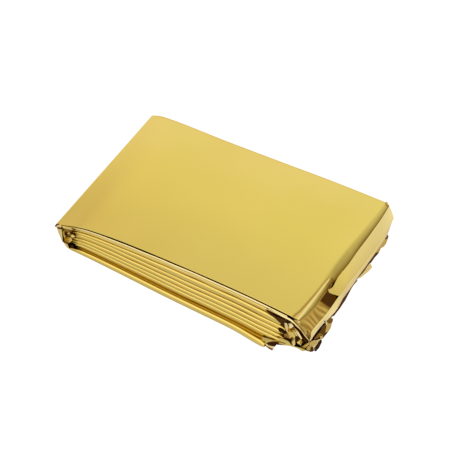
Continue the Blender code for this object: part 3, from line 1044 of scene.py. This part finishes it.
# film bunched under the band on the right, from the front corner back
footFolds = {
    # each facet's first number is its tone: below 0 a painted highlight, above 0 painted shade; the backing
    # is a sheet of painted shade behind the facets
    "plane": ("x", 71.3, 1),
    "backing": (1.2, 1.2, 0, (318.2, 333.5), (325.2, 323.4), (329, 318.2), (333.2, 318.4), (330.7, 328.1),
        (328.4, 331.7), (325.6, 335.2), (322.4, 338.6), (316.4, 340.4), (314.3, 339.9)),
    "wine": (1.85, 1.7, 0, (325.2, 323.4), (323.2, 326.5), (319.9, 331), (318.2, 333.5), (321.6, 333.1),
        (324.2, 335.4), (325.2, 331.5), (326.3, 326.5)),
    "gold": (0.45, 1.5, 0, (325.3, 323.2), (326.5, 321.9), (331.7, 323.2), (330.7, 328.1), (328.2, 331.7),
        (326.5, 333), (325.4, 331), (326.5, 326.5)),
    "crest": (-0.9, 1.8, 0, (325.2, 321.6), (326.7, 320.9), (327.6, 323.6), (326.4, 325.2)),
    "brown": (1.6, 1.6, 0, (326.9, 320.5), (329, 318.2), (333.2, 318.4), (332.8, 321.5), (330.7, 323.4),
        (327.6, 323.4)),
    "dark": (1.97, 1.6, 0, (324, 335.2), (326.3, 332.9), (328.4, 331.7), (325.6, 335.2), (322.4, 338.9),
        (323.2, 335.6)),
    "strip": (1.5, 1.9, 0, (318.4, 333.2), (314.3, 338.5), (314.7, 339.9), (317.8, 337.7), (319.5, 335.6)),
    "grey": (1.2, 1.8, 0, (319.1, 333.1), (321.8, 333.7), (319.9, 336.2), (317.8, 338.3), (316.4, 340.4),
        (317.6, 337.6)),
    "light": (0.3, 1.7, 0, (319.9, 336.2), (323.2, 335.4), (322.4, 338.9), (320.5, 339.9)),
    "pale": (-0.8, 1.9, 0, (316.4, 340.4), (320.5, 338.7), (322.2, 340.6), (319.6, 342.6), (316.6, 345.3)),
    "orange": (0.4, 2.2, 0, (309.8, 342.2), (314.6, 339.9), (316.6, 340.6), (316.6, 343.5), (312.4, 346.6),
        (309.3, 345.8)),
    "white": (-1, 2, 0, (312.4, 346.4), (316.6, 343.5), (319.9, 342.1), (315.4, 348.3), (314, 351)),
    "knob": (0.5, 2.2, 0, (307.5, 346.6), (309.3, 345.6), (312.4, 346.4), (311.4, 349), (308.6, 350.8),
        (306.4, 349.4)),
    "dent": (1.95, 2.3, 0, (311, 347.6), (312.8, 346.6), (313.8, 350.6), (312.2, 352), (310.4, 351.6)),
    "leaf": (2, 2.3, 0, (314.2, 351.4), (315.4, 348.3), (319.9, 342.1), (321.9, 340.1), (321.9, 342.3),
        (319.1, 347.9), (316.2, 351.3)),
}
sideFolds = {
    # each facet's first number is its tone: above 0 painted shade, below 0 a painted highlight
    "plane": ("x", 68, 1),
    "tip": (1.75, 1, 0, (385, 235.6), (387.5, 234.7), (388.6, 235.9), (387.8, 239.2), (384.6, 239.6)),
    "orange": (0.5, 1.2, 0, (384.2, 239.4), (387.9, 238.8), (386.4, 243.2), (384, 246.6), (380.9, 248.3),
        (377.8, 247.2), (380.9, 243)),
    "olive": (0.7, 1.5, 0, (377.6, 247.2), (380.9, 248.3), (378.6, 253.5), (375.2, 255.3), (374.6, 252.4)),
    "dark": (1.97, 1.8, 0, (379, 252.9), (374.8, 257.5), (371, 262.9), (367.9, 264.4), (367.4, 263.6),
        (371, 258.4), (375.4, 253.4)),
    "tab": (-0.4, 2.3, 0, (368.9, 264.2), (371, 264), (372.2, 267.3), (368.7, 271.3), (360.2, 278.2),
        (357.4, 278.6), (362.4, 273.4), (366.6, 268.2)),
    "crease": (1.1, 2.1, 0, (367.2, 263.4), (369.1, 263.9), (364.8, 270.8), (358.4, 278), (356.6, 278.4),
        (362.6, 271.2)),
    "seam": (1.6, 2.8, 0, (353.6, 281), (358, 280.3), (353.2, 285.8), (349.6, 292), (346.2, 292.6)),
    "line": (1.97, 3.3, 0, (347.6, 290.4), (350.6, 290.4), (345.2, 300.6), (341.8, 305.6), (338.4, 304)),
    "lowLine": (1.97, 4.2, 0, (342.4, 299.2), (346, 299.2), (339.8, 308.6), (334, 316), (332.4, 316.4),
        (331.8, 312)),
}
backKnot = {
    # its tone is painted shade
    "plane": ("z", 23.6, 1),
    "grey": (0.55, 0.9, 0, (385.4, 201.3), (387.4, 202.2), (388.6, 204.8), (386.8, 205)),
}
leftCurl = {
    # each facet's first number is its tone: below 0 a painted highlight, above 0 painted shade
    "plane": ("y", -42.6, -1),
    "wrap": (-0.7, 0.5, 0.27, (57, 228.4), (61.2, 229), (62.1, 230.3), (62.3, 235.4), (62.6, 240.5),
        (63.3, 242.6), (62.4, 242.2), (60, 236.7), (58, 232)),
    "gap": (1.8, 1, 0, (56.6, 227.6), (58.7, 226.6), (61, 227.6), (63.5, 228.6), (61.2, 229.5),
        (58.4, 228.9)),
    "tip": (1.9, 0.6, 0, (54.6, 226.2), (56.4, 223.8), (59.6, 223.6), (57.7, 225.1), (55.6, 227)),
    "fold": (-0.7, 0.6, 0.3, (55.6, 226.9), (57.7, 225), (60.2, 224.2), (61.8, 225.8), (61, 227.6),
        (58, 226.8), (56.4, 227.8)),
    "line": (1.7, 1.4, 0, (61.8, 229), (63.8, 228.8), (63, 232.9), (64.3, 236.9), (64.1, 241.1),
        (63.1, 242.5), (62.2, 236.7), (61.7, 232.9)),
    "tan": (0.45, 0.8, 0.27, (62.9, 229.3), (64.3, 230), (64.3, 233.9), (65.8, 236.9), (64.3, 238.2),
        (63.3, 234.9)),
    "brown": (1.05, 1.2, 0, (64.3, 228.9), (68.5, 229.2), (71.8, 230.6), (71, 233.2), (70, 235.4),
        (67.9, 237), (65.8, 237), (64.3, 233.9)),
    "spot": (0.3, 1.6, 0.28, (67.6, 232.9), (69.6, 232.1), (70, 233.9), (67.9, 234.6)),
    "cream": (-0.5, 1.2, 0.36, (70.4, 235), (72.2, 233.9), (75.2, 236.8), (73.6, 237.5), (71.9, 237.3),
        (70.9, 236.6)),
    "gold": (-0.2, 1, 0.28, (64.2, 238), (67.9, 236.9), (70.9, 237.2), (71.9, 238.7), (72, 240.7),
        (69.2, 242.8), (66.8, 241.6), (64.3, 241.4)),
    "shelf": (-0.3, 1.2, 0.3, (61.8, 225.6), (66, 226.4), (71, 228.2), (74, 230.4), (68.5, 229.2),
        (63, 228.2)),
    "dot": (1.6, 1.6, 0, (64.7, 241.2), (66.9, 241.3), (66.5, 243), (65.3, 243.3)),
    "dark": (1.95, 1.5, 0, (68.9, 243.1), (70.4, 243.9), (74.2, 246.4), (72, 248), (69.9, 248.4),
        (68.9, 248.1), (67.4, 244.8)),
    "pale": (-0.7, 1.4, 0.27, (63.6, 242.6), (65.3, 243.1), (67.6, 244.6), (69, 248.1), (67.6, 248.4),
        (65.6, 246.2)),
}


outerWrap = makeOuter()
innerLayers = makeInner()
flapSheet, rimBand = makeFlap()
crumples = {"rosette": rosette, "cornerTuck": cornerTuck, "tornTab": tornTab, "footFolds": footFolds,
            "sideFolds": sideFolds, "backKnot": backKnot, "leftCurl": leftCurl}
smallPieces = [flapSheet, rimBand, makeRidge("cornerEdge", cornerEdge)]
smallPieces += [makeFacets(name, s) for name, s in crumples.items()]
for piece in [outerWrap, innerLayers] + smallPieces:
    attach(piece, "root")
    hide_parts("blanket")
print("film folded", [len(p.data.polygons) for p in (outerWrap, innerLayers)])
